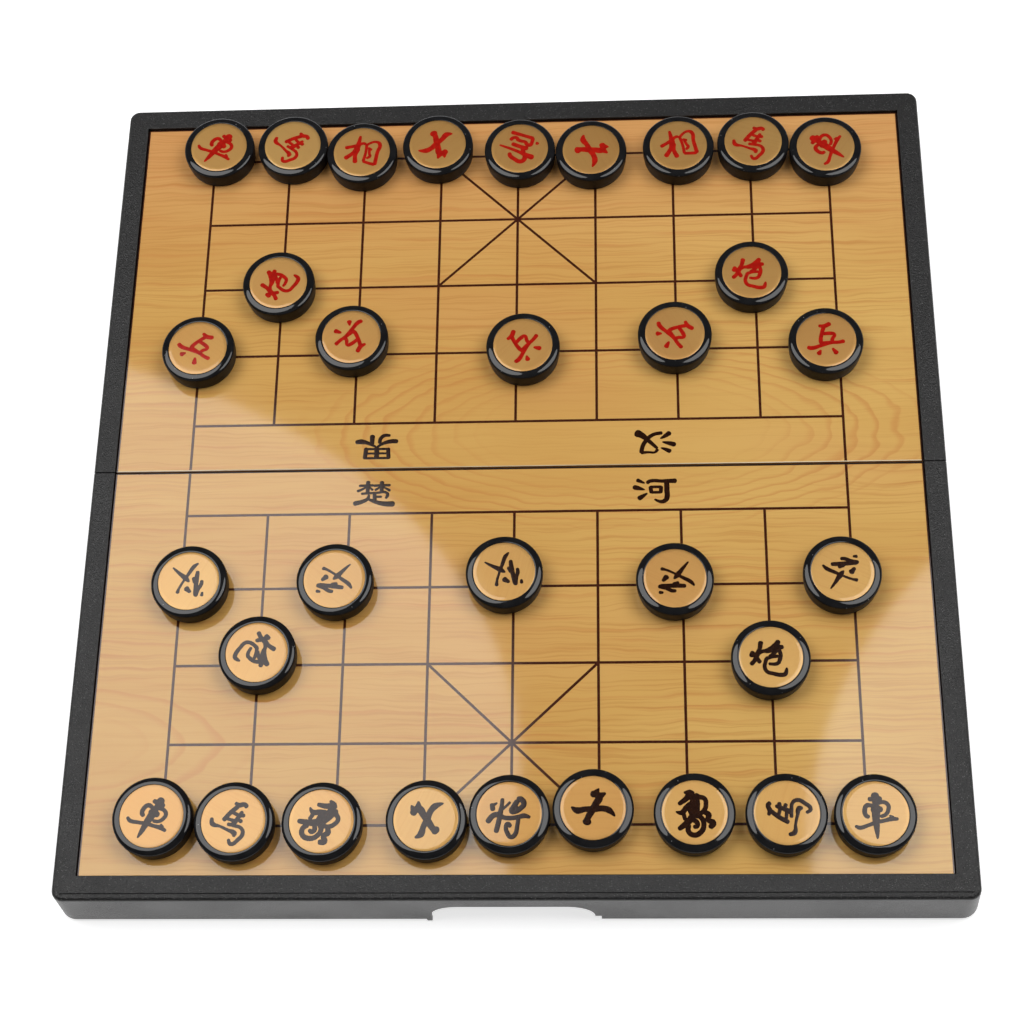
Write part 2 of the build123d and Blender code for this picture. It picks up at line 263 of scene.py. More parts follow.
        ((-6.0, 1.0, 1.2), (-4.8, 0.7, 1.1), (-2.9, 0.15, 0.3)),
        ((-4.6, -2.6, 1.2), (-3.6, -1.9, 1.0), (-2.2, -1.0, 0.4)),
        ((-2.2, 2.3, 0.9), (-1.4, 2.8, 0.9), (2.0, 2.8, 0.85), (6.0, 2.8, 1.2)),
        ((3.4, 2.7, 1.2), (3.4, 0.0, 1.2), (3.4, -2.3, 1.2), (2.9, -3.2, 1.1), (1.7, -3.6, 0.9),
         (-0.1, -2.9, 0.5)),
        ((-1.25, 1.1, 0.9), (-1.0, -0.8, 0.9)),
        ((-1.25, 1.0, 0.7), (1.8, 1.0, 0.7)),
        ((1.8, 1.1, 0.9), (1.65, -0.8, 0.9)),
        ((-1.0, -0.7, 0.7), (1.65, -0.7, 0.7)),
    ),
    Character.BORDER: (
        ((-3.8, 4.0, 0.95), (-3.6, 0.8, 0.95)),
        ((-3.8, 3.9, 0.6), (3.1, 3.9, 0.6)),
        ((3.1, 4.0, 1.0), (2.8, 0.7, 1.0)),
        ((-3.6, 2.4, 0.55), (3.0, 2.4, 0.55)),
        ((-3.5, 1.0, 0.6), (2.8, 1.0, 0.6)),
        ((-0.3, 3.9, 1.2), (-0.3, 0.4, 1.1)),
        ((-0.3, 0.4, 0.5), (-2.0, -0.7, 0.8), (-4.3, -1.4, 1.1), (-6.2, -1.4, 1.1)),
        ((0.0, 0.3, 0.5), (2.3, -0.9, 0.9), (4.3, -1.4, 1.3), (5.8, -1.3, 1.1)),
        ((-1.0, -0.9, 0.9), (-1.3, -2.3, 0.9), (-2.4, -3.3, 0.9), (-4.0, -3.3, 0.7)),
        ((1.15, -0.6, 1.0), (1.15, -3.3, 1.2)),
    ),
    Character.HAN: (
        ((-4.6, 3.0, 1.1), (-3.4, 2.4, 0.9), (-2.0, 1.9, 0.4)),
        ((-6.0, 0.9, 1.2), (-4.6, 0.5, 1.1), (-2.4, 0.0, 0.3)),
        ((-4.6, -2.9, 1.2), (-3.4, -2.0, 1.0), (-1.9, -1.1, 0.4)),
        ((-1.0, 2.4, 0.8), (-0.3, 3.2, 0.6), (1.6, 3.2, 0.6), (3.7, 3.3, 0.9)),
        ((3.7, 3.3, 1.0), (3.3, 1.4, 1.0), (2.2, -0.6, 1.0), (0.3, -2.3, 0.9), (-2.3, -2.9, 0.9)),
        ((-0.9, 2.0, 0.7), (1.4, -0.3, 1.0), (3.5, -2.2, 1.5), (5.0, -3.0, 1.9)),
    ),
}

# The pieces of an army, each row from left to right
KINDS = (
    "chariot_left", "horse_left", "elephant_left", "advisor_left", "general",
    "advisor_right", "elephant_right", "horse_right", "chariot_right",
    "cannon_left", "cannon_right",
    "soldier_1", "soldier_2", "soldier_3", "soldier_4", "soldier_5",
)
# How far each of them was turned when it was set down, in degrees counterclockwise
TURNS: dict[Army, tuple[float, ...]] = {
    Army.RED: (-39, -48, -22, -138, -105, -65, 0, -23, 52, 66, -3, -39, -144, 44, -62, 0),
    Army.BLACK: (-29, -25, -48, 64, 0, 0, 0, 76, 0, -113, 0, -120, 145, -107, 152, -25),
}


class ShaderTree:
    """A node tree with short calls that add nodes and join them."""

    # Sockets of a colour mix: its two colours and its result
    FIRST, SECOND, MIXED = 6, 7, 2

    def __init__(self, tree: bpy.types.NodeTree) -> None:
        """Wraps a node tree."""
        self.tree = tree

    def add(self, kind: str, inputs: dict | None = None, **settings: object) -> bpy.types.Node:
        """Adds a node.

        Args:
            kind: the node's type, such as ShaderNodeTexNoise.
            inputs: by socket name or number, a value or the output socket that feeds it.
            settings: the node's own properties.

        Returns:
            The new node.
        """
        node = self.tree.nodes.new(kind)
        node.location = (200 * len(self.tree.nodes), 0)
        for name, value in settings.items():
            setattr(node, name, value)
        self.feed(node, inputs or {})
        return node

    def feed(self, node: bpy.types.Node, inputs: dict) -> None:
        """Sets or joins a node's inputs.

        Args:
            node: the node.
            inputs: by socket name or number, a value or the output socket that feeds it.
        """
        for name, value in inputs.items():
            if isinstance(value, Socket):
                self.tree.links.new(value, node.inputs[name])
            else:
                node.inputs[name].default_value = value

    def calc(self, operation: str, a: Feed, b: Feed = 0.0) -> Socket:
        """Returns the output of a maths node on two numbers or sockets."""
        return self.add("ShaderNodeMath", {0: a, 1: b}, operation=operation).outputs[0]

    def times(self, a: Feed, b: Feed) -> Socket:
        """Returns the product of two numbers or sockets."""
        return self.calc("MULTIPLY", a, b)

    def rest(self, share: Feed) -> Socket:
        """Returns what is left of 1 beside a share."""
        return self.calc("SUBTRACT", 1.0, share)

    def ramp(self, value: Socket, span: Span) -> Socket:
        """Returns a smooth step from 0 at the span's start to 1 at its end."""
        sockets = {"Value": value, "From Min": span[0], "From Max": span[1]}
        return self.add("ShaderNodeMapRange", sockets, interpolation_type="SMOOTHSTEP").outputs[0]

    def stretch(self, vector: Socket, scale: Place, shift: Place = (0, 0, 0)) -> Socket:
        """Returns the vector scaled along each axis, then shifted."""
        sockets = {"Vector": vector, "Scale": scale, "Location": shift}
        return self.add("ShaderNodeMapping", sockets).outputs[0]

    def noise(self, vector: Socket, scale: Feed = 1.0, detail: float = 2.0) -> Socket:
        """Returns soft noise from 0 to 1."""
        sockets = {"Vector": vector, "Scale": scale, "Detail": detail}
        return self.add("ShaderNodeTexNoise", sockets).outputs[0]

    def blend(self, share: Feed, a: Colour | Socket, b: Colour | Socket) -> Socket:
        """Returns the mix of two colours: a where share is 0, b where it is 1."""
        a, b = ((*colour, 1.0) if isinstance(colour, tuple) else colour for colour in (a, b))
        sockets = {0: share, self.FIRST: a, self.SECOND: b}
        return self.add("ShaderNodeMix", sockets, data_type="RGBA").outputs[self.MIXED]

    def effect(self, group: bpy.types.NodeTree, place: Socket, **values: float) -> Socket:
        """Places a shared effect.

        Args:
            group: the effect's node group.
            place: the coordinates that it reads.
            values: its number inputs by name, with _ for a space.

        Returns:
            The effect's output.
        """
        inputs = {name.replace("_", " "): value for name, value in values.items()}
        inputs["Vector"] = place
        return self.add("ShaderNodeGroup", inputs, node_tree=group).outputs[0]


class EffectGroup:
    """A shader node group that reads a vector and some numbers and puts out one value."""

    def __init__(self, name: str, numbers: dict[str, float], output: str, kind: str) -> None:
        """Makes the group with its sockets.

        Args:
            name: the group's name.
            numbers: its number inputs with their usual values.
            output: the name of its output.
            kind: the output's socket type.
        """
        self.group = bpy.data.node_groups.new(name, "ShaderNodeTree")
        self.output = output
        add_socket = self.group.interface.new_socket
        add_socket("Vector", in_out="INPUT", socket_type="NodeSocketVector")
        for label, value in numbers.items():
            socket = add_socket(label, in_out="INPUT", socket_type="NodeSocketFloat")
            socket.default_value = value
        add_socket(output, in_out="OUTPUT", socket_type=kind)
        self.tree = ShaderTree(self.group)
        self.given = self.tree.add("NodeGroupInput").outputs

    def finish(self, value: Socket) -> bpy.types.NodeTree:
        """Returns the group after its output is joined."""
        self.tree.add("NodeGroupOutput", {self.output: value})
        return self.group


@dataclass(frozen=True)
class PrintNoise:
    """Soft noise over the print: waves per mm along X and Y, its shift and its detail."""

    waves: Span
    shift: Span = (0.0, 0.0)
    detail: float = 2.0

    def over(self, tree: ShaderTree, place: Socket) -> Socket:
        """Returns the noise, from 0 to 1, at a place in mm."""
        stretched = tree.stretch(place, (*self.waves, 0), (*self.shift, 0))
        return tree.noise(stretched, detail=self.detail)


@dataclass(frozen=True)
class WoodPattern:
    """Printed wood: fine grain along X, wavy growth lines, nested ovals and patches of tone.

    Lengths are in mm. A span is where a smooth step starts and ends, and a share is how much of
    its colour an effect lays over the wood.
    """

    wave: PrintNoise = PrintNoise((0.013, 0.045), detail=3.0)
    wave_height: float = 7.0
    jag: PrintNoise = PrintNoise((0.09, 0.13), (2.0, 5.0), 1.5)
    jag_height: float = 1.8
    line_pitch: float = 3.4
    line_rise: Span = (0.55, 0.90)
    line_fall: Span = (0.91, 1.0)
    line_patches: PrintNoise = PrintNoise((0.02, 0.12), (7.7, 2.2))
    line_patch_span: Span = (0.42, 0.66)
    line_colour: Colour = (0.58, 0.20, 0.055)
    line_share: float = 0.4
    # Nested ovals: (x, y, half length, half width) and how many rings
    ovals: tuple[tuple[float, ...], ...] = (
        (30.0, 11.0, 100.0, 34.0, 15.0),
        (-128.0, -82.0, 62.0, 22.0, 6.0),
    )
    oval_jag: float = 0.09
    oval_start: Span = (0.3, 0.75)
    oval_end: Span = (0.75, 1.0)
    fibre: PrintNoise = PrintNoise((0.025, 1.5), detail=4.0)
    fibre_span: Span = (0.46, 0.66)
    fibre_colour: Colour = (0.52, 0.215, 0.05)
    fibre_share: float = 0.36
    fibre_lost_in_ovals: float = 0.6
    tone: PrintNoise = PrintNoise((0.012, 0.045), (1.3, 5.1))
    tone_span: Span = (0.3, 0.7)
    tone_across: Span = (-30.0, 90.0)
    deep_colour: Colour = (0.66, 0.355, 0.094)
    pale_colour: Colour = (0.745, 0.455, 0.135)
    blush: PrintNoise = PrintNoise((0.010, 0.022), (9.4, 6.3))
    blush_span: Span = (0.5, 0.75)
    blush_strength: float = 0.4
    blush_to_the_back: Span = (50.0, 120.0)
    blush_colour: Colour = (0.70, 0.30, 0.13)
    blush_share: float = 0.5

    def _growth_line(self, tree: ShaderTree, turns: Socket) -> Socket:
        """Returns a line for every whole turn: a slow rise to it and a sharp edge after it."""
        turn = tree.calc("FRACT", turns)
        before = tree.rest(tree.ramp(turn, self.line_fall))
        return tree.times(tree.ramp(turn, self.line_rise), before)

    def _oval_lines(self, tree: ShaderTree, place: Socket, jag: Socket) -> tuple[Socket, Socket]:
        """Makes the nested ovals.

        Args:
            tree: the wood's tree.
            place: the place in mm.
            jag: the small unevenness of the growth lines.

        Returns:
            The ovals' lines, and how far inside an oval the place is, both from 0 to 1.
        """
        lines, inside = 0.0, 0.0
        for x, y, half_length, half_width, rings in self.ovals:
            scale = (1 / half_length, 1 / half_width, 0)
            near = tree.stretch(place, scale, (-x / half_length, -y / half_width, 0))
            out = tree.add("ShaderNodeVectorMath", {0: near}, operation="LENGTH").outputs["Value"]
            within = tree.rest(tree.ramp(out, self.oval_end))
            bent = tree.calc("ADD", out, tree.times(jag, self.oval_jag))
            line = self._growth_line(tree, tree.times(bent, rings))
            shown = tree.times(within, tree.ramp(out, self.oval_start))
            lines = tree.calc("MAXIMUM", tree.times(line, shown), lines)
            inside = tree.calc("MAXIMUM", within, inside)
        return lines, inside

    def _bare_wood(
        self, tree: ShaderTree, place: Socket, x: Socket, y: Socket, blush_kept: Socket
    ) -> Socket:
        """Returns the wood's colour before its lines.

        Args:
            tree: the wood's tree.
            place: the place in mm.
            x, y: its coordinates.
            blush_kept: how much of the reddish tone this print keeps.
        """
        tone = tree.ramp(self.tone.over(tree, place), self.tone_span)
        tone = tree.times(tree.calc("ADD", tone, tree.ramp(x, self.tone_across)), 0.5)
        blush = tree.ramp(self.blush.over(tree, place), self.blush_span)
        blush = tree.times(blush, self.blush_strength)
        blush = tree.calc("MAXIMUM", blush, tree.ramp(y, self.blush_to_the_back))
        blush = tree.times(tree.times(blush, blush_kept), self.blush_share)
        colour = tree.blend(tone, self.deep_colour, self.pale_colour)
        return tree.blend(blush, colour, self.blush_colour)

    def build(self) -> bpy.types.NodeTree:
        """Returns the node group, with how much of its rings, grain and blush a print keeps."""
        kept = {"Rings": 1.0, "Grain": 1.0, "Blush": 1.0}
        effect = EffectGroup("Printed Wood", kept, "Color", "NodeSocketColor")
        tree, given = effect.tree, effect.given
        in_mm = {0: given["Vector"], 3: 1 / MM}
        place = tree.add("ShaderNodeVectorMath", in_mm, operation="SCALE").outputs[0]
        x, y = tree.add("ShaderNodeSeparateXYZ", {0: place}).outputs[:2]
        jag = self.jag.over(tree, place)
        ovals, inside = self._oval_lines(tree, place, jag)
        bent = tree.calc("ADD", y, tree.times(self.wave.over(tree, place), self.wave_height))
        bent = tree.calc("ADD", bent, tree.times(jag, self.jag_height))
        line = self._growth_line(tree, tree.calc("DIVIDE", bent, self.line_pitch))
        patch = tree.ramp(self.line_patches.over(tree, place), self.line_patch_span)
        line = tree.times(line, tree.times(patch, tree.rest(inside)))
        line = tree.times(tree.calc("MAXIMUM", line, ovals), given["Rings"])
        along = tree.add("ShaderNodeCombineXYZ", {0: x, 1: bent}).outputs[0]
        fibre = tree.ramp(self.fibre.over(tree, along), self.fibre_span)
        fibre = tree.times(fibre, tree.rest(tree.times(inside, self.fibre_lost_in_ovals)))
        fibre = tree.times(fibre, given["Grain"])
        colour = self._bare_wood(tree, place, x, y, given["Blush"])
        colour = tree.blend(tree.times(line, self.line_share), colour, self.line_colour)
        colour = tree.blend(tree.times(fibre, self.fibre_share), colour, self.fibre_colour)
        return effect.finish(colour)


@dataclass(frozen=True)
class DustAndPaintedGlintPattern:
    """Sparse light specks: dust on the resin, and on a grained moulding painted highlights of its
    grain.
    """

    speck_edge: Span = (0.12, 0.35)

    def build(self) -> bpy.types.NodeTree:
        """Returns the node group: the specks' density per mm and the share that show."""
        effect = EffectGroup("Specks", {"Per mm": 2.0, "Share": 0.1}, "Mask", "NodeSocketFloat")
        tree, given = effect.tree, effect.given
        scale = tree.calc("DIVIDE", given["Per mm"], MM)
        cells = tree.add("ShaderNodeTexVoronoi", {"Vector": given["Vector"], "Scale": scale})
        chance = tree.add("ShaderNodeSeparateColor", {0: cells.outputs["Color"]}).outputs[0]
        chosen = tree.calc("LESS_THAN", chance, given["Share"])
        speck = tree.rest(tree.ramp(cells.outputs["Distance"], self.speck_edge))
        return effect.finish(tree.times(chosen, speck))


@dataclass(frozen=True)
class MottlePattern:
    """Soft uneven patches from 0 to 1, such as handling marks or the density of an ink."""

    patch_edge: Span = (0.35, 0.65)
    detail: float = 4.0

    def build(self) -> bpy.types.NodeTree:
        """Returns the node group: the patches' density per mm."""
        effect = EffectGroup("Mottle", {"Per mm": 0.2}, "Mask", "NodeSocketFloat")
        tree, given = effect.tree, effect.given
        scale = tree.calc("DIVIDE", given["Per mm"], MM)
        patches = tree.noise(given["Vector"], scale, self.detail)
        return effect.finish(tree.ramp(patches, self.patch_edge))


class SharedEffects:
    """Shader node groups that several finishes use, each built once."""

    def __init__(self) -> None:
        """Builds the groups."""
        self.wood = WoodPattern().build()
        # Light specks: dust on the resin, and painted highlight specks on the grained plastic
        self.specks = DustAndPaintedGlintPattern().build()
        self.mottle = MottlePattern().build()


@dataclass(frozen=True)
class Finish:
    """A surface finish: its name and the roughness of its gloss."""

    name: str
    roughness: float

    def start(self) -> tuple[bpy.types.Material, ShaderTree, bpy.types.Node]:
        """Returns a new material, its tree helper and its Principled shader."""
        material = bpy.data.materials.new(self.name)
        material.use_nodes = True
        shader = material.node_tree.nodes["Principled BSDF"]
        shader.inputs["Roughness"].default_value = self.roughness
        return material, ShaderTree(material.node_tree), shader

    @staticmethod
    def place(tree: ShaderTree) -> Socket:
        """Returns the piece's own coordinates."""
        return tree.add("ShaderNodeTexCoord").outputs["Object"]


@dataclass(frozen=True)
class GrainedPlastic(Finish):
    """Black plastic with a fine moulded grain, light specks of painted highlight on it and patches
    polished by hands.
    """

    pit: Colour = (0.006, 0.006, 0.006)
    base: Colour = (0.016, 0.0148, 0.0145)
    # Painted highlight: the colour and share of light specks laid into the base colour
    painted_glint: Colour = (0.16, 0.155, 0.155)
    painted_glint_share: float = 0.2
    grain_per_mm: float = 2.7
    grain_detail: float = 3.0
    grain_edge: Span = (0.38, 0.62)
    grain_depth: float = 0.19 * MM
    polish_per_mm: float = 0.05
    polish: float = -0.08
    specular: float = 0.43

    def build(self, effects: SharedEffects) -> bpy.types.Material:
        """Returns the material."""
        material, tree, shader = self.start()
        place = self.place(tree)
        # Painted highlight: light specks laid into the base colour
        painted_glints = tree.effect(
            effects.specks, place, Per_mm=self.grain_per_mm, Share=self.painted_glint_share
        )
        handled = tree.effect(effects.mottle, place, Per_mm=self.polish_per_mm)
        grain = tree.noise(place, self.grain_per_mm / MM, self.grain_detail)
        colour = tree.blend(tree.ramp(grain, self.grain_edge), self.pit, self.base)
        relief = {"Height": grain, "Distance": self.grain_depth, "Strength": 1.0}
        tree.feed(shader, {
            "Base Color": tree.blend(painted_glints, colour, self.painted_glint),
            "Roughness": tree.calc("ADD", tree.times(handled, self.polish), self.roughness),
            "Specular IOR Level": self.specular,
            "Normal": tree.add("ShaderNodeBump", relief).outputs[0],
        })
        return material


@dataclass(frozen=True)
class WoodPrint(Finish):
    """Glossy print of golden wood, on the panels by place or on the labels by their own map.

    Over foil the varnish is a coat of its own.
    """

    rings: float = 1.0
    grain: float = 1.0
    blush: float = 1.0
    map_name: str = ""
    ripples_per_mm: float = 0.06
    waviness: float = 0.004 * MM
    tint: Colour = (1.0, 1.0, 1.0)
    foil: float = 0.0
    foil_roughness: float = 0.45
    varnish_ior: float = 1.5

    def build(self, effects: SharedEffects) -> bpy.types.Material:
        """Returns the material."""
        material, tree, shader = self.start()
        if self.map_name:
            place = tree.add("ShaderNodeUVMap", {}, uv_map=self.map_name).outputs[0]
        else:
            place = self.place(tree)
        wood = tree.effect(
            effects.wood, place, Rings=self.rings, Grain=self.grain, Blush=self.blush
        )
        tinted = tree.add("ShaderNodeVectorMath", {0: wood, 1: self.tint}, operation="MULTIPLY")
        ripple = tree.noise(place, self.ripples_per_mm / MM, 1.0)
        relief = {"Height": ripple, "Distance": self.waviness, "Strength": 1.0}
        normal = tree.add("ShaderNodeBump", relief).outputs[0]
        tree.feed(shader, {"Base Color": tinted.outputs[0], "Normal": normal})
        if self.foil:
            tree.feed(shader, {
                "Metallic": self.foil,
                "Roughness": self.foil_roughness,
                "Coat Weight": 1.0,
                "Coat Roughness": self.roughness,
                "Coat IOR": self.varnish_ior,
                "Coat Normal": normal,
            })
        return material


@dataclass(frozen=True)
class Mottled(Finish):
    """One colour that is a little uneven: ink, resin, steel or magnet."""

    dark: Colour = (0.01, 0.01, 0.01)
    light: Colour = (0.02, 0.02, 0.02)
    per_mm: float = 0.8
    ior: float = 1.5
    metallic: float = 0.0
    dust: float = 0.0
    dust_per_mm: float = 2.0
    dust_colour: Colour = (0.25, 0.25, 0.25)

    def build(self, effects: SharedEffects) -> bpy.types.Material:
        """Returns the material."""
        material, tree, shader = self.start()
        place = self.place(tree)
        uneven = tree.effect(effects.mottle, place, Per_mm=self.per_mm)
        colour = tree.blend(uneven, self.dark, self.light)
        if self.dust:
            dust = tree.effect(effects.specks, place, Per_mm=self.dust_per_mm, Share=self.dust)
            colour = tree.blend(dust, colour, self.dust_colour)
        tree.feed(shader, {"Base Color": colour, "IOR": self.ior, "Metallic": self.metallic})
        return material


class Finishes:
    """Every material of the set, built once."""

    def __init__(self) -> None:
        """Builds the materials."""
        effects = SharedEffects()
        self.case = GrainedPlastic("Grained Black Plastic", 0.38).build(effects)
        self.panel = WoodPrint("Printed Panel", 0.05).build(effects)
        self.label = WoodPrint(
            "Printed Label", 0.05, rings=0.1, grain=0.35, blush=0.4, map_name=PRINT_MAP,
            waviness=0.0005 * MM, tint=(0.755, 0.728, 0.74), foil=0.72, varnish_ior=1.42,
        ).build(effects)
        # Ink of the grid lines, also used for the painted shade in the gaps at the panels' edges
        self.line_ink_and_painted_shade = Mottled(
            "Line Ink", 0.08, dark=(0.048, 0.010, 0.003), light=(0.065, 0.016, 0.005)
        ).build(effects)
        # The far panel's pale cut edge along the seam, painted lighter as a highlight
        self.highlit_cut_edge = Mottled(
            "Print Edge", 0.3, dark=(0.50, 0.37, 0.19), light=(0.78, 0.64, 0.42), per_mm=0.02
        ).build(effects)
        self.black_ink = Mottled(
            "Black Ink", 0.12, dark=(0.015, 0.003, 0.0005), light=(0.024, 0.006, 0.001), ior=1.4
        ).build(effects)
        self.red_ink = Mottled(
            "Red Ink", 0.12, dark=(0.36, 0.005, 0.001), light=(0.46, 0.008, 0.002), ior=1.4
        ).build(effects)
        self.resin = Mottled(
            "Black Resin", 0.04, dark=(0.006, 0.006, 0.007), light=(0.010, 0.010, 0.011),
            per_mm=0.3, ior=1.47, dust=0.012,
        ).build(effects)
        self.resin_side = Mottled(
            "Satin Black Resin", 0.5, dark=(0.006, 0.005, 0.005), light=(0.012, 0.010, 0.010),
            per_mm=1.2, ior=1.25,
        ).build(effects)
        self.steel = Mottled(
            "Tinned Steel", 0.32, dark=(0.50, 0.50, 0.51), light=(0.60, 0.60, 0.61),
            per_mm=0.1, metallic=1.0,
        ).build(effects)
        self.magnet = Mottled(
            "Magnet", 0.5, dark=(0.045, 0.042, 0.042), light=(0.075, 0.07, 0.068)
        ).build(effects)


def to_mesh(name: str, shape: bmesh.types.BMesh) -> bpy.types.Mesh:
    """Returns the shape as a mesh, and frees the shape."""
    mesh = bpy.data.meshes.new(name)
    shape.to_mesh(mesh)
    shape.free()
    return mesh


def link(name: str, data: bpy.types.ID) -> bpy.types.Object:
    """Returns a new object of the scene that shows the data."""
    thing = bpy.data.objects.new(name, data)
    bpy.context.scene.collection.objects.link(thing)
    return thing


def baked(thing: bpy.types.Object) -> bpy.types.Mesh:
    """Returns the object's final mesh, with its curves and modifiers worked out."""
    graph = bpy.context.evaluated_depsgraph_get()
    return bpy.data.meshes.new_from_object(thing.evaluated_get(graph))


def looking(centre: Place, aim: Place) -> Matrix:
    """Returns the placement of a lamp or camera that looks from its centre at its aim."""
    towards = Vector(aim) - Vector(centre)
    return Matrix.Translation(centre) @ towards.to_track_quat("-Z", "Y").to_matrix().to_4x4()


def make_piece(
    name: str,
    shape: bmesh.types.BMesh | bpy.types.Mesh,
    materials: list[bpy.types.Material],
    smooth: bool = True,
) -> bpy.types.Object:
    """Makes a finished object at the origin.

    Args:
        name: the piece's name.
        shape: its shape, already in place; a bmesh is freed.
        materials: its materials in slot order.
        smooth: whether its faces are shaded smooth.

    Returns:
        The linked object.
    """
    mesh = to_mesh(name, shape) if isinstance(shape, bmesh.types.BMesh) else shape
    mesh.name = name
    slots = [face.material_index for face in mesh.polygons]
    mesh.materials.clear()
    for material in materials:
        mesh.materials.append(material)
    mesh.polygons.foreach_set("material_index", slots)
    mesh.polygons.foreach_set("use_smooth", [smooth] * len(mesh.polygons))
    return link(name, mesh)


@dataclass
class Brush:
    """Writes characters as thin inked strokes that swell and taper."""

    weight: float = 1.27
    flatness: float = 0.005
    lift: float = 0.012 * MM
    end_pull: float = 0.45
    # How far out towards a stroke's tip its rounded end has points, as shares of its radius
    end_shares: tuple[float, ...] = (0.55, 0.85, 0.99)
    curve_steps: int = 5
    section_steps: int = 2
    written: dict[Character, bpy.types.Mesh] = field(default_factory=dict)

    def _with_round_ends(self, stroke: Stroke) -> list[tuple[float, float, float]]:
        """Returns the stroke with a few points more at each end, where the brush lifts off."""
        ends = []
        for tip, inner in ((stroke[0], stroke[1]), (stroke[-1], stroke[-2])):
            away = Vector((tip[0] - inner[0], tip[1] - inner[1])).normalized()
            radius = tip[2] / 2
            rounded = []
            for share in self.end_shares:
                spot = Vector(tip[:2]) + away * radius * (share - self.end_pull)
                rounded.append((spot.x, spot.y, tip[2] * math.sqrt(1 - share ** 2)))
            centre = Vector(tip[:2]) - away * radius * self.end_pull
            ends.append([(centre.x, centre.y, tip[2])] + rounded)
        return ends[0][::-1] + list(stroke[1:-1]) + ends[1]

    def character(self, character: Character) -> bpy.types.Mesh:
        """Returns the character's mesh about the origin, lying on the plane z = 0, in metres."""
        if character in self.written:
            return self.written[character]
        curve = bpy.data.curves.new(character.value, "CURVE")
        curve.dimensions = "3D"
        curve.twist_mode = "Z_UP"
        curve.bevel_depth = MM
        curve.bevel_resolution = self.section_steps
        curve.resolution_u = self.curve_steps
        curve.use_fill_caps = True
        for stroke in BRUSHWORK[character]:
            points = self._with_round_ends(stroke)
            spline = curve.splines.new("BEZIER")
            spline.bezier_points.add(len(points) - 1)
            for knot, (x, y, width) in zip(spline.bezier_points, points):
                knot.co = (x * MM, y * MM, 0)
                knot.radius = self.weight * width / 2
                knot.handle_left_type = knot.handle_right_type = "AUTO"
        holder = link(character.value, curve)
        mesh = baked(holder)
        bpy.data.objects.remove(holder)
        shape = bmesh.new()
        shape.from_mesh(mesh)
        bmesh.ops.remove_doubles(shape, verts=shape.verts, dist=SAME_PLACE)
        bmesh.ops.recalc_face_normals(shape, faces=shape.faces)
        bmesh.ops.scale(shape, vec=(1, 1, self.flatness), verts=shape.verts)
        shape.to_mesh(mesh)
        shape.free()
        self.written[character] = mesh
        return mesh

    def write(
        self, character: Character, name: str, place: Vector, turn: float, ink: bpy.types.Material
    ) -> bpy.types.Object:
        """Writes a character.

        Args:
            character: which one.
            name: the piece's name.
            place: its middle, on the face that carries it.
            turn: its turn in degrees counterclockwise.
            ink: its material.

        Returns:
            The inked piece.
        """
        mesh = self.character(character).copy()
        lifted = place + Vector((0, 0, self.lift))
        mesh.transform(Matrix.Translation(lifted) @ Matrix.Rotation(math.radians(turn), 4, "Z"))
        return make_piece(name, mesh, [ink], smooth=False)


class Layer(IntEnum):
    """How many small steps above the print a line lies, so that no two share a plane."""

    DIAGONAL = -1
    CROSSING_DIAGONAL = 0
    RANK = 1
    FILE = 2
    SIDE = 3
    EDGE = 4


@dataclass(frozen=True)
class PrintedLine:
    """A printed line or painted strip from one (x, y) to another, each end reaching half a width
    further.
    """

    start: Spot
    end: Spot
    layer: Layer
    width: float


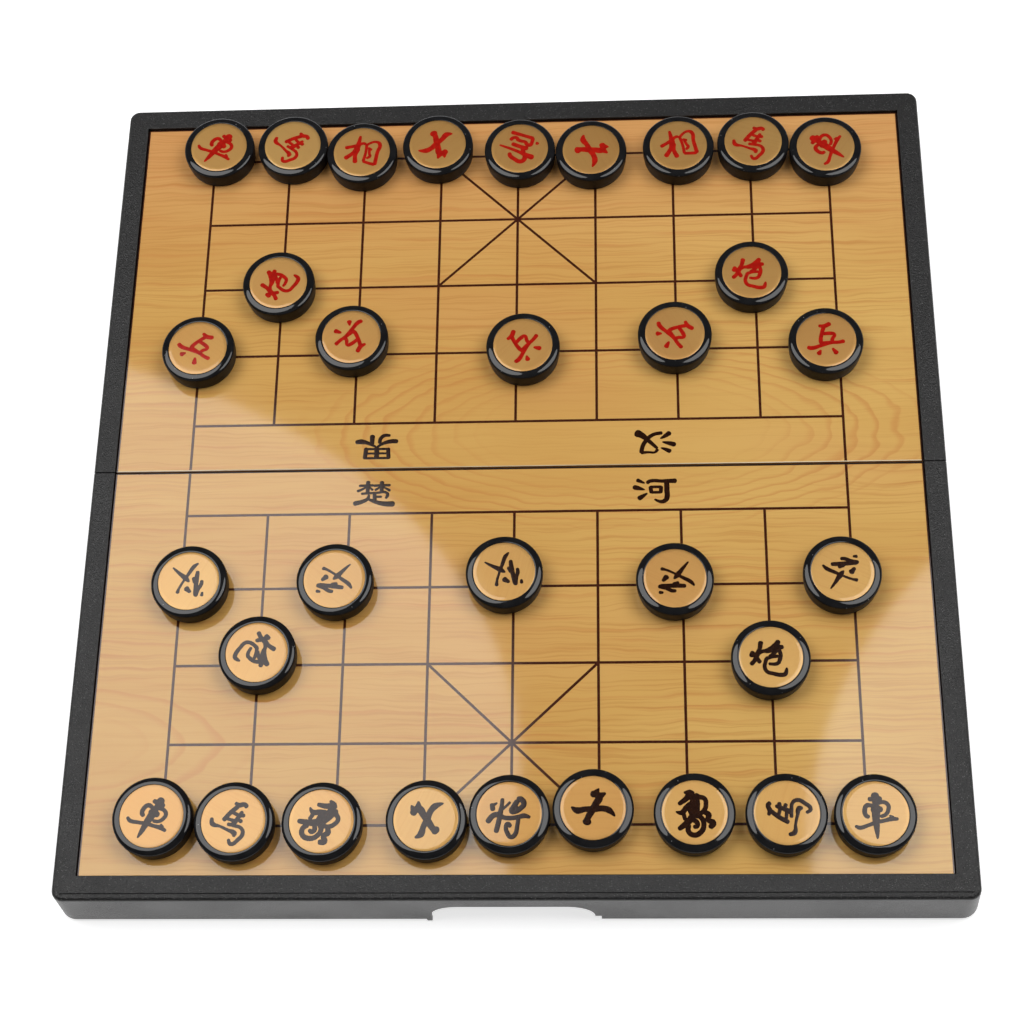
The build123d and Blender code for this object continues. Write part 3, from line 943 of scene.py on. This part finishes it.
@dataclass
class PrintedBoard:
    """The grid lines, palace diagonals and river characters printed on the two panels, with painted
    shade at their edges.
    """

    finishes: Finishes
    brush: Brush
    file_pitch: float = 23.6 * MM
    rank_pitch: float = 22.7 * MM
    side_files: int = 4
    back_rank: int = 4
    palace_rank: int = 2
    line_width: float = 0.77 * MM
    line_depth: float = 0.02 * MM
    layer_step: float = 0.006 * MM
    seam_gap: float = 0.3 * MM
    # Widths of painted shade: strips in the gap at a panel's sides and far back, and along the seam
    border: float = 0.35 * MM
    seam_shade: float = 0.16 * MM
    # The far panel's pale cut edge, painted lighter as a highlight
    highlit_cut_edge: float = 0.28 * MM
    # The river's characters: half, character, middle in mm and turn in degrees
    river_words: tuple[tuple[Half, Character, Spot, float], ...] = (
        (Half.NEAR, Character.CHU, (-39.9, -7.0), 0),
        (Half.NEAR, Character.RIVER, (40.0, -7.6), 0),
        (Half.FAR, Character.BORDER, (-40.5, 7.6), 180),
        (Half.FAR, Character.HAN, (40.0, 7.5), 180),
    )

    @staticmethod
    def _panel(half: Half) -> tuple[Vector, Vector]:
        """Returns the lowest and highest corners of a half's panel."""
        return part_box(f"{half.word}_panel")

    @staticmethod
    def _carry(piece: bpy.types.Object, half: Half) -> None:
        """Lets a piece of the print move with its half."""
        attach(piece, f"{half.word}_half")
        log.info("%s on the %s half", piece.name, half.word)

    def _print(
        self, name: str, half: Half, lines: list[PrintedLine], ink: bpy.types.Material
    ) -> None:
        """Makes one piece of printed lines and painted strips.

        Args:
            name: the piece's name.
            half: the half that it lies on.
            lines: its lines.
            ink: its material.
        """
        top = self._panel(half)[1].z
        shape = bmesh.new()
        for line in lines:
            start, end = Vector((*line.start, top)), Vector((*line.end, top))
            along = end - start
            middle = (start + end) / 2 + Vector((0, 0, line.layer * self.layer_step))
            turn = Matrix.Rotation(math.atan2(along.y, along.x), 4, "Z")
            size = Matrix.Diagonal((along.length + line.width, line.width, self.line_depth, 1))
            bmesh.ops.create_cube(shape, size=1.0, matrix=Matrix.Translation(middle) @ turn @ size)
        self._carry(make_piece(name, shape, [ink], smooth=False), half)

    def _grid(self, half: Half) -> list[PrintedLine]:
        """Returns the files, ranks and palace diagonals of one half."""
        bank = half.bank * MM
        back = bank + half.side * self.back_rank * self.rank_pitch
        seam = half.side * (self.seam_gap + self.line_width / 2)
        palace = bank + half.side * self.palace_rank * self.rank_pitch
        edge = self.side_files * self.file_pitch
        lines = []
        for file in range(-self.side_files, self.side_files + 1):
            x = file * self.file_pitch
            start = seam if abs(file) == self.side_files else bank
            lines.append(PrintedLine((x, start), (x, back), Layer.FILE, self.line_width))
        for rank in range(self.back_rank + 1):
            y = bank + half.side * rank * self.rank_pitch
            lines.append(PrintedLine((-edge, y), (edge, y), Layer.RANK, self.line_width))
        for side, layer in ((-1, Layer.CROSSING_DIAGONAL), (1, Layer.DIAGONAL)):
            x = side * self.file_pitch
            lines.append(PrintedLine((-x, palace), (x, back), layer, self.line_width))
        return lines

    def _painted_shade_strips(self, half: Half) -> list[PrintedLine]:
        """Returns a panel's painted shade: dark strips in the gaps at its sides, along its seam
        and, on the far half, at its back.
        """
        low, high = self._panel(half)
        inner, outer = (low.y, high.y) if half is Half.FAR else (high.y, low.y)
        reach = half.side * self.border / 2
        lines = [
            PrintedLine((x, inner + reach), (x, outer - reach), Layer.SIDE, self.border)
            for x in (low.x + self.border / 2, high.x - self.border / 2)
        ]
        rows = [(inner, 1, self.seam_shade)]
        if half is Half.FAR:
            rows.append((outer, -1, self.border))
        for y, inward, width in rows:
            y += half.side * inward * width / 2
            ends = (low.x + width / 2, y), (high.x - width / 2, y)
            lines.append(PrintedLine(*ends, Layer.EDGE, width))
        return lines

    def _cut_edge(self) -> PrintedLine:
        """Returns the pale cut edge of the far panel's print along the seam, painted lighter as a
        highlight.
        """
        low, high = self._panel(Half.FAR)
        y = low.y + self.seam_shade + self.highlit_cut_edge / 2
        inset = self.border + self.highlit_cut_edge / 2
        return PrintedLine((low.x + inset, y), (high.x - inset, y), Layer.EDGE, self.highlit_cut_edge)

    def build(self) -> None:
        """Prints both halves."""
        for half in Half:
            # Each half's grid is printed together with its painted shade strips
            lines = self._grid(half) + self._painted_shade_strips(half)
            self._print(f"{half.word}_grid_and_painted_shade", half, lines, self.finishes.line_ink_and_painted_shade)
        # A painted highlight along the far panel's pale cut edge at the seam
        self._print("far_print_cut_edge", Half.FAR, [self._cut_edge()], self.finishes.highlit_cut_edge)
        for half, character, (x, y), turn in self.river_words:
            name = f"river_{character.value}"
            place = Vector((x * MM, y * MM, self._panel(half)[1].z))
            ink = self.finishes.black_ink
            self._carry(self.brush.write(character, name, place, turn, ink), half)


@dataclass
class PieceMould:
    """The body, label and magnet that every playing piece shares, made once about the origin."""

    foot: Outline = (
        (10.1, 0.0), (10.24, 0.06), (10.34, 0.2), (10.6, 2.0), (10.74, 3.6), (10.78, 4.6),
    )
    rim: Outline = ((10.78, 5.3), (10.78, 5.97), (10.15, 6.19), (8.72, 6.3))
    lip: Outline = ((8.68, 6.28), (8.67, 6.2))
    dome: Outline = ((7.6, 6.25), (8.0, 6.25), (8.3, 6.215), (8.6, 6.17))
    dome_edge: Outline = ((8.64, 6.15), (8.65, 6.08))
    curve_steps: int = 12
    seat_height: float = 5.65 * MM
    label_thickness: float = 0.6 * MM
    magnet_side: float = 8.0 * MM
    magnet_thickness: float = 2.0 * MM
    magnet_edge: float = 0.2 * MM
    magnet_drop: float = 0.2 * MM
    magnet_gap: float = 0.1 * MM
    satin_below: float = 5.62 * MM
    steps: int = 96

    def _curve(self, handles: Outline) -> list[Spot]:
        """Returns points along a Bezier curve given by its two ends and two handles."""
        spots = interpolate_bezier(*(Vector((r, z, 0)) for r, z in handles), self.curve_steps)
        return [(spot.x, spot.y) for spot in spots]

    def _spun(self, name: str, profile: Sequence[Spot]) -> bmesh.types.BMesh:
        """Turns a profile in mm about the Z axis.

        Args:
            name: the shape's name, for the log.
            profile: radius and height of its points, from the axis round to the axis.

        Returns:
            The closed shape, its faces outwards.
        """
        shape = bmesh.new()
        verts = [shape.verts.new((r * MM, 0, z * MM)) for r, z in profile]
        edges = [shape.edges.new(pair) for pair in zip(verts, verts[1:])]
        bmesh.ops.spin(
            shape, geom=verts + edges, cent=(0, 0, 0), axis=(0, 0, 1),
            angle=math.tau, steps=self.steps, use_merge=True,
        )
        bmesh.ops.remove_doubles(shape, verts=shape.verts, dist=SAME_PLACE)
        bmesh.ops.recalc_face_normals(shape, faces=shape.faces)
        log.info("%s: %d faces", name, len(shape.faces))
        return shape

    def body(self) -> bpy.types.Mesh:
        """Returns the moulded body: a flared side, a crowned rim and a square seat in its base."""
        seat = self.seat_height / MM
        wall = (*self.foot, *self._curve(self.rim), *self.lip)
        shape = self._spun("piece body", ((0.0, 0.0), *wall, (wall[-1][0], seat), (0.0, seat)))
        mesh = self._cut_seat(to_mesh("piece_body", shape))
        for face in mesh.polygons:
            face.material_index = int(face.center.z < self.satin_below)
        return mesh

    def _cut_seat(self, mesh: bpy.types.Mesh) -> bpy.types.Mesh:
        """Returns the body with the magnet's square seat cut up into its base."""
        side = self.magnet_side + 2 * self.magnet_gap
        depth = self.magnet_drop + self.magnet_thickness
        block = bmesh.new()
        bmesh.ops.create_cube(block, size=1.0, matrix=Matrix.Diagonal((side, side, 2 * depth, 1)))
        body = link("piece_body", mesh)
        tool = link("seat_cutter", to_mesh("seat_cutter", block))
        cut = body.modifiers.new("Seat", "BOOLEAN")
        cut.operation = "DIFFERENCE"
        cut.solver = "EXACT"
        cut.object = tool
        result = baked(body)
        for thing in (body, tool):
            bpy.data.objects.remove(thing)
        return result

    def label(self) -> bpy.types.Mesh:
        """Returns the printed disc, domed towards its edge, with its own map of the print."""
        seat = self.seat_height / MM
        top = seat + self.label_thickness / MM
        edge = (*self._curve(self.dome), *self.dome_edge)
        shape = self._spun("piece label", ((0.0, top), *edge, (edge[-1][0], seat), (0.0, seat)))
        layer = shape.loops.layers.uv.new(PRINT_MAP)
        for face in shape.faces:
            for loop in face.loops:
                loop[layer].uv = loop.vert.co.xy
        return to_mesh("piece_label", shape)

    def magnet(self) -> bpy.types.Mesh:
        """Returns the square magnet with broken edges."""
        shape = bmesh.new()
        size = Matrix.Diagonal((self.magnet_side, self.magnet_side, self.magnet_thickness, 1))
        lift = Matrix.Translation((0, 0, self.magnet_drop + self.magnet_thickness / 2))
        bmesh.ops.create_cube(shape, size=1.0, matrix=lift @ size)
        bmesh.ops.bevel(
            shape, geom=shape.edges[:], offset=self.magnet_edge, segments=2, profile=0.5,
            affect="EDGES", material=-1,
        )
        return to_mesh("piece_magnet", shape)


@dataclass
class PlayingPieces:
    """All 32 pieces, each set down at its node's place and turned as it was left."""

    finishes: Finishes
    brush: Brush
    mould: PieceMould = field(default_factory=PieceMould)
    seed: int = 11
    print_spread: float = 90 * MM
    sharp_angle: float = 50.0

    def build(self) -> None:
        """Makes every piece."""
        mould = self.mould
        meshes = {"body": mould.body(), "label": mould.label(), "magnet": mould.magnet()}
        chance = random.Random(self.seed)
        for army, turns in TURNS.items():
            for kind, turn in zip(KINDS, turns):
                shift = Vector((chance.uniform(-1, 1), chance.uniform(-1, 1))) * self.print_spread
                self._piece(army, kind, turn, shift, meshes)
            log.info("%d %s pieces", len(turns), army.word)

    def _piece(
        self, army: Army, kind: str, turn: float, shift: Vector, meshes: dict[str, bpy.types.Mesh]
    ) -> None:
        """Makes one piece.

        Args:
            army: whose it is.
            kind: its kind and side, such as horse_left.
            turn: its turn in degrees counterclockwise.
            shift: the stretch of print that its label is cut from.
            meshes: the shared shapes about the origin.
        """
        node = f"{army.word}_{kind}"
        low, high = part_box(node)
        stand = Vector(((low.x + high.x) / 2, (low.y + high.y) / 2, low.z))
        finishes = self.finishes
        looks = {
            "body": [finishes.resin, finishes.resin_side],
            "label": [finishes.label],
            "magnet": [finishes.magnet],
        }
        parts = {}
        for part, mesh in meshes.items():
            placed = mesh.copy()
            spin = math.radians(turn if part == "label" else 0)
            placed.transform(Matrix.Translation(stand) @ Matrix.Rotation(spin, 4, "Z"))
            smooth = part != "magnet"
            parts[part] = make_piece(f"{node}_{part}", placed, looks[part], smooth)
            if smooth:
                placed.set_sharp_from_angle(angle=math.radians(self.sharp_angle))
        for corner in parts["label"].data.uv_layers[PRINT_MAP].data:
            corner.uv = Vector(corner.uv) + shift
        ink = finishes.red_ink if army is Army.RED else finishes.black_ink
        word = kind.split("_")[0]
        known = {character.value: character for character in Character}
        character = known.get(word) or known[f"{army.word}_{word}"]
        face = stand + Vector((0, 0, self.mould.seat_height + self.mould.label_thickness))
        parts["character"] = self.brush.write(character, f"{node}_character", face, turn, ink)
        for piece in parts.values():
            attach(piece, f"{node}_piece")
        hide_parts(node)


@dataclass
class BoxCase:
    """The CAD nodes of the box itself, which keep their meshes and get their finishes."""

    finishes: Finishes

    def build(self) -> None:
        """Gives each node its finish."""
        finishes = self.finishes
        parts = {"case": finishes.case, "panel": finishes.panel, "steel_sheet": finishes.steel}
        wanted = {f"{half.word}_{part}": finish for half in Half for part, finish in parts.items()}
        wanted |= {f"{side}_hinge_pin": finishes.steel for side in ("left", "right")}
        for name, material in wanted.items():
            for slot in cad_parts[name].material_slots:
                slot.material = material
            log.info("finish of %s", name)


class LampShape(Enum):
    """The outline of a soft light."""

    ELLIPSE = "ELLIPSE"
    RECTANGLE = "RECTANGLE"


@dataclass(frozen=True)
class SoftLight:
    """A soft studio light, described by the brightness of its own face."""

    name: str
    shape: LampShape
    centre: Place
    aim: Place
    width: float
    height: float
    brightness: float
    mirrored: bool = True

    def build(self) -> bpy.types.Object:
        """Returns the lamp, hidden from the camera and, unless it is mirrored, from reflections."""
        lamp = bpy.data.lights.new(self.name, "AREA")
        lamp.shape = self.shape.value
        lamp.size = self.width
        lamp.size_y = self.height
        area = self.width * self.height
        if self.shape is LampShape.ELLIPSE:
            area *= math.pi / 4
        lamp.energy = self.brightness * math.pi * area
        light = link(self.name, lamp)
        light.matrix_world = looking(self.centre, self.aim)
        light.visible_camera = False
        light.visible_glossy = self.mirrored
        return light


@dataclass(frozen=True)
class CameraRig:
    """The camera: where it stands, what it looks at, its roll and its lens."""

    place: Place = (0.03226, -0.23396, 0.53445)
    aim: Place = (-0.00071, -0.0138, 0.0178)
    roll: float = -8.59
    lens: float = 69.44

    def build(self) -> None:
        """Makes the camera and gives it to the scene."""
        camera = bpy.data.cameras.new("Camera")
        camera.lens = self.lens
        holder = link("Camera", camera)
        roll = Matrix.Rotation(math.radians(self.roll), 4, "Z")
        holder.matrix_world = looking(self.place, self.aim) @ roll
        bpy.context.scene.camera = holder


@dataclass
class Studio:
    """Pale floor, white surroundings, soft lights and the camera."""

    floor_size: float = 12.0
    floor_colour: Colour = (0.72, 0.72, 0.72)
    floor_shade: float = 0.98
    floor_patches_per_m: float = 3.0
    floor_roughness: float = 0.9
    floor_glow: float = 0.72
    horizon: Span = (-0.02, 0.02)
    ceiling: float = 0.10
    lights: tuple[SoftLight, ...] = (
        SoftLight(
            "overhead_left", LampShape.ELLIPSE, centre=(-0.60, 0.185, 1.018),
            aim=(-0.60, 0.185, 0.0), width=1.09, height=0.79, brightness=3.6,
        ),
        SoftLight(
            "overhead_right", LampShape.ELLIPSE, centre=(0.715, 0.125, 1.018),
            aim=(0.715, 0.125, 0.0), width=1.09, height=0.79, brightness=3.6,
        ),
        SoftLight(
            "back_fill", LampShape.RECTANGLE, centre=(0.0, 0.85, 0.9),
            aim=(0.0, 0.0, 0.0), width=1.6, height=1.0, brightness=0.45, mirrored=False,
        ),
    )

    @staticmethod
    def _seen(tree: ShaderTree) -> Socket:
        """Returns 1 for rays from the camera, off gloss or through glass, and 0 for the others."""
        rays = tree.add("ShaderNodeLightPath").outputs
        gloss = tree.calc("MAXIMUM", rays["Is Glossy Ray"], rays["Is Transmission Ray"])
        return tree.calc("MAXIMUM", rays["Is Camera Ray"], gloss)

    def _floor(self) -> None:
        """Makes the floor, which glows a little where it is seen and is clear from below."""
        shape = bmesh.new()
        bmesh.ops.create_grid(shape, x_segments=1, y_segments=1, size=self.floor_size / 2)
        material, tree, shader = Finish("Pale Floor", self.floor_roughness).start()
        patches = tree.noise(Finish.place(tree), self.floor_patches_per_m)
        darker = tuple(channel * self.floor_shade for channel in self.floor_colour)
        tree.feed(shader, {
            "Base Color": tree.blend(patches, self.floor_colour, darker),
            "Emission Color": WHITE,
            "Emission Strength": tree.times(self._seen(tree), self.floor_glow),
        })
        clear = tree.add("ShaderNodeBsdfTransparent").outputs[0]
        below = tree.add("ShaderNodeNewGeometry").outputs["Backfacing"]
        mix = tree.add("ShaderNodeMixShader", {0: below, 1: shader.outputs[0], 2: clear})
        tree.feed(material.node_tree.nodes["Material Output"], {"Surface": mix.outputs[0]})
        make_piece("floor", shape, [material], smooth=False)

    def _world(self) -> None:
        """Makes the surroundings: white to the camera and near the horizon, dim overhead."""
        world = bpy.data.worlds.new("Studio")
        bpy.context.scene.world = world
        world.use_nodes = True
        tree = ShaderTree(world.node_tree)
        place = tree.add("ShaderNodeTexCoord").outputs["Generated"]
        up = tree.add("ShaderNodeSeparateXYZ", {0: place}).outputs[2]
        lit = tree.rest(tree.times(tree.ramp(up, self.horizon), 1.0 - self.ceiling))
        seen = tree.add("ShaderNodeLightPath").outputs["Is Camera Ray"]
        strength = tree.calc("MAXIMUM", lit, seen)
        tree.feed(world.node_tree.nodes["Background"], {"Color": WHITE, "Strength": strength})

    def build(self) -> None:
        """Sets up the studio."""
        bpy.context.scene.view_settings.view_transform = "Standard"
        self._floor()
        self._world()
        for light in self.lights:
            light.build()
        CameraRig().build()
        log.info("studio with %d soft lights", len(self.lights))


def main() -> None:
    """Builds the set."""
    logging.basicConfig(level=logging.INFO, format="%(name)s: %(message)s")
    finishes = Finishes()
    brush = Brush()
    BoxCase(finishes).build()
    PrintedBoard(finishes, brush).build()
    PlayingPieces(finishes, brush).build()
    Studio().build()


if __name__ == "__main__":
    main()
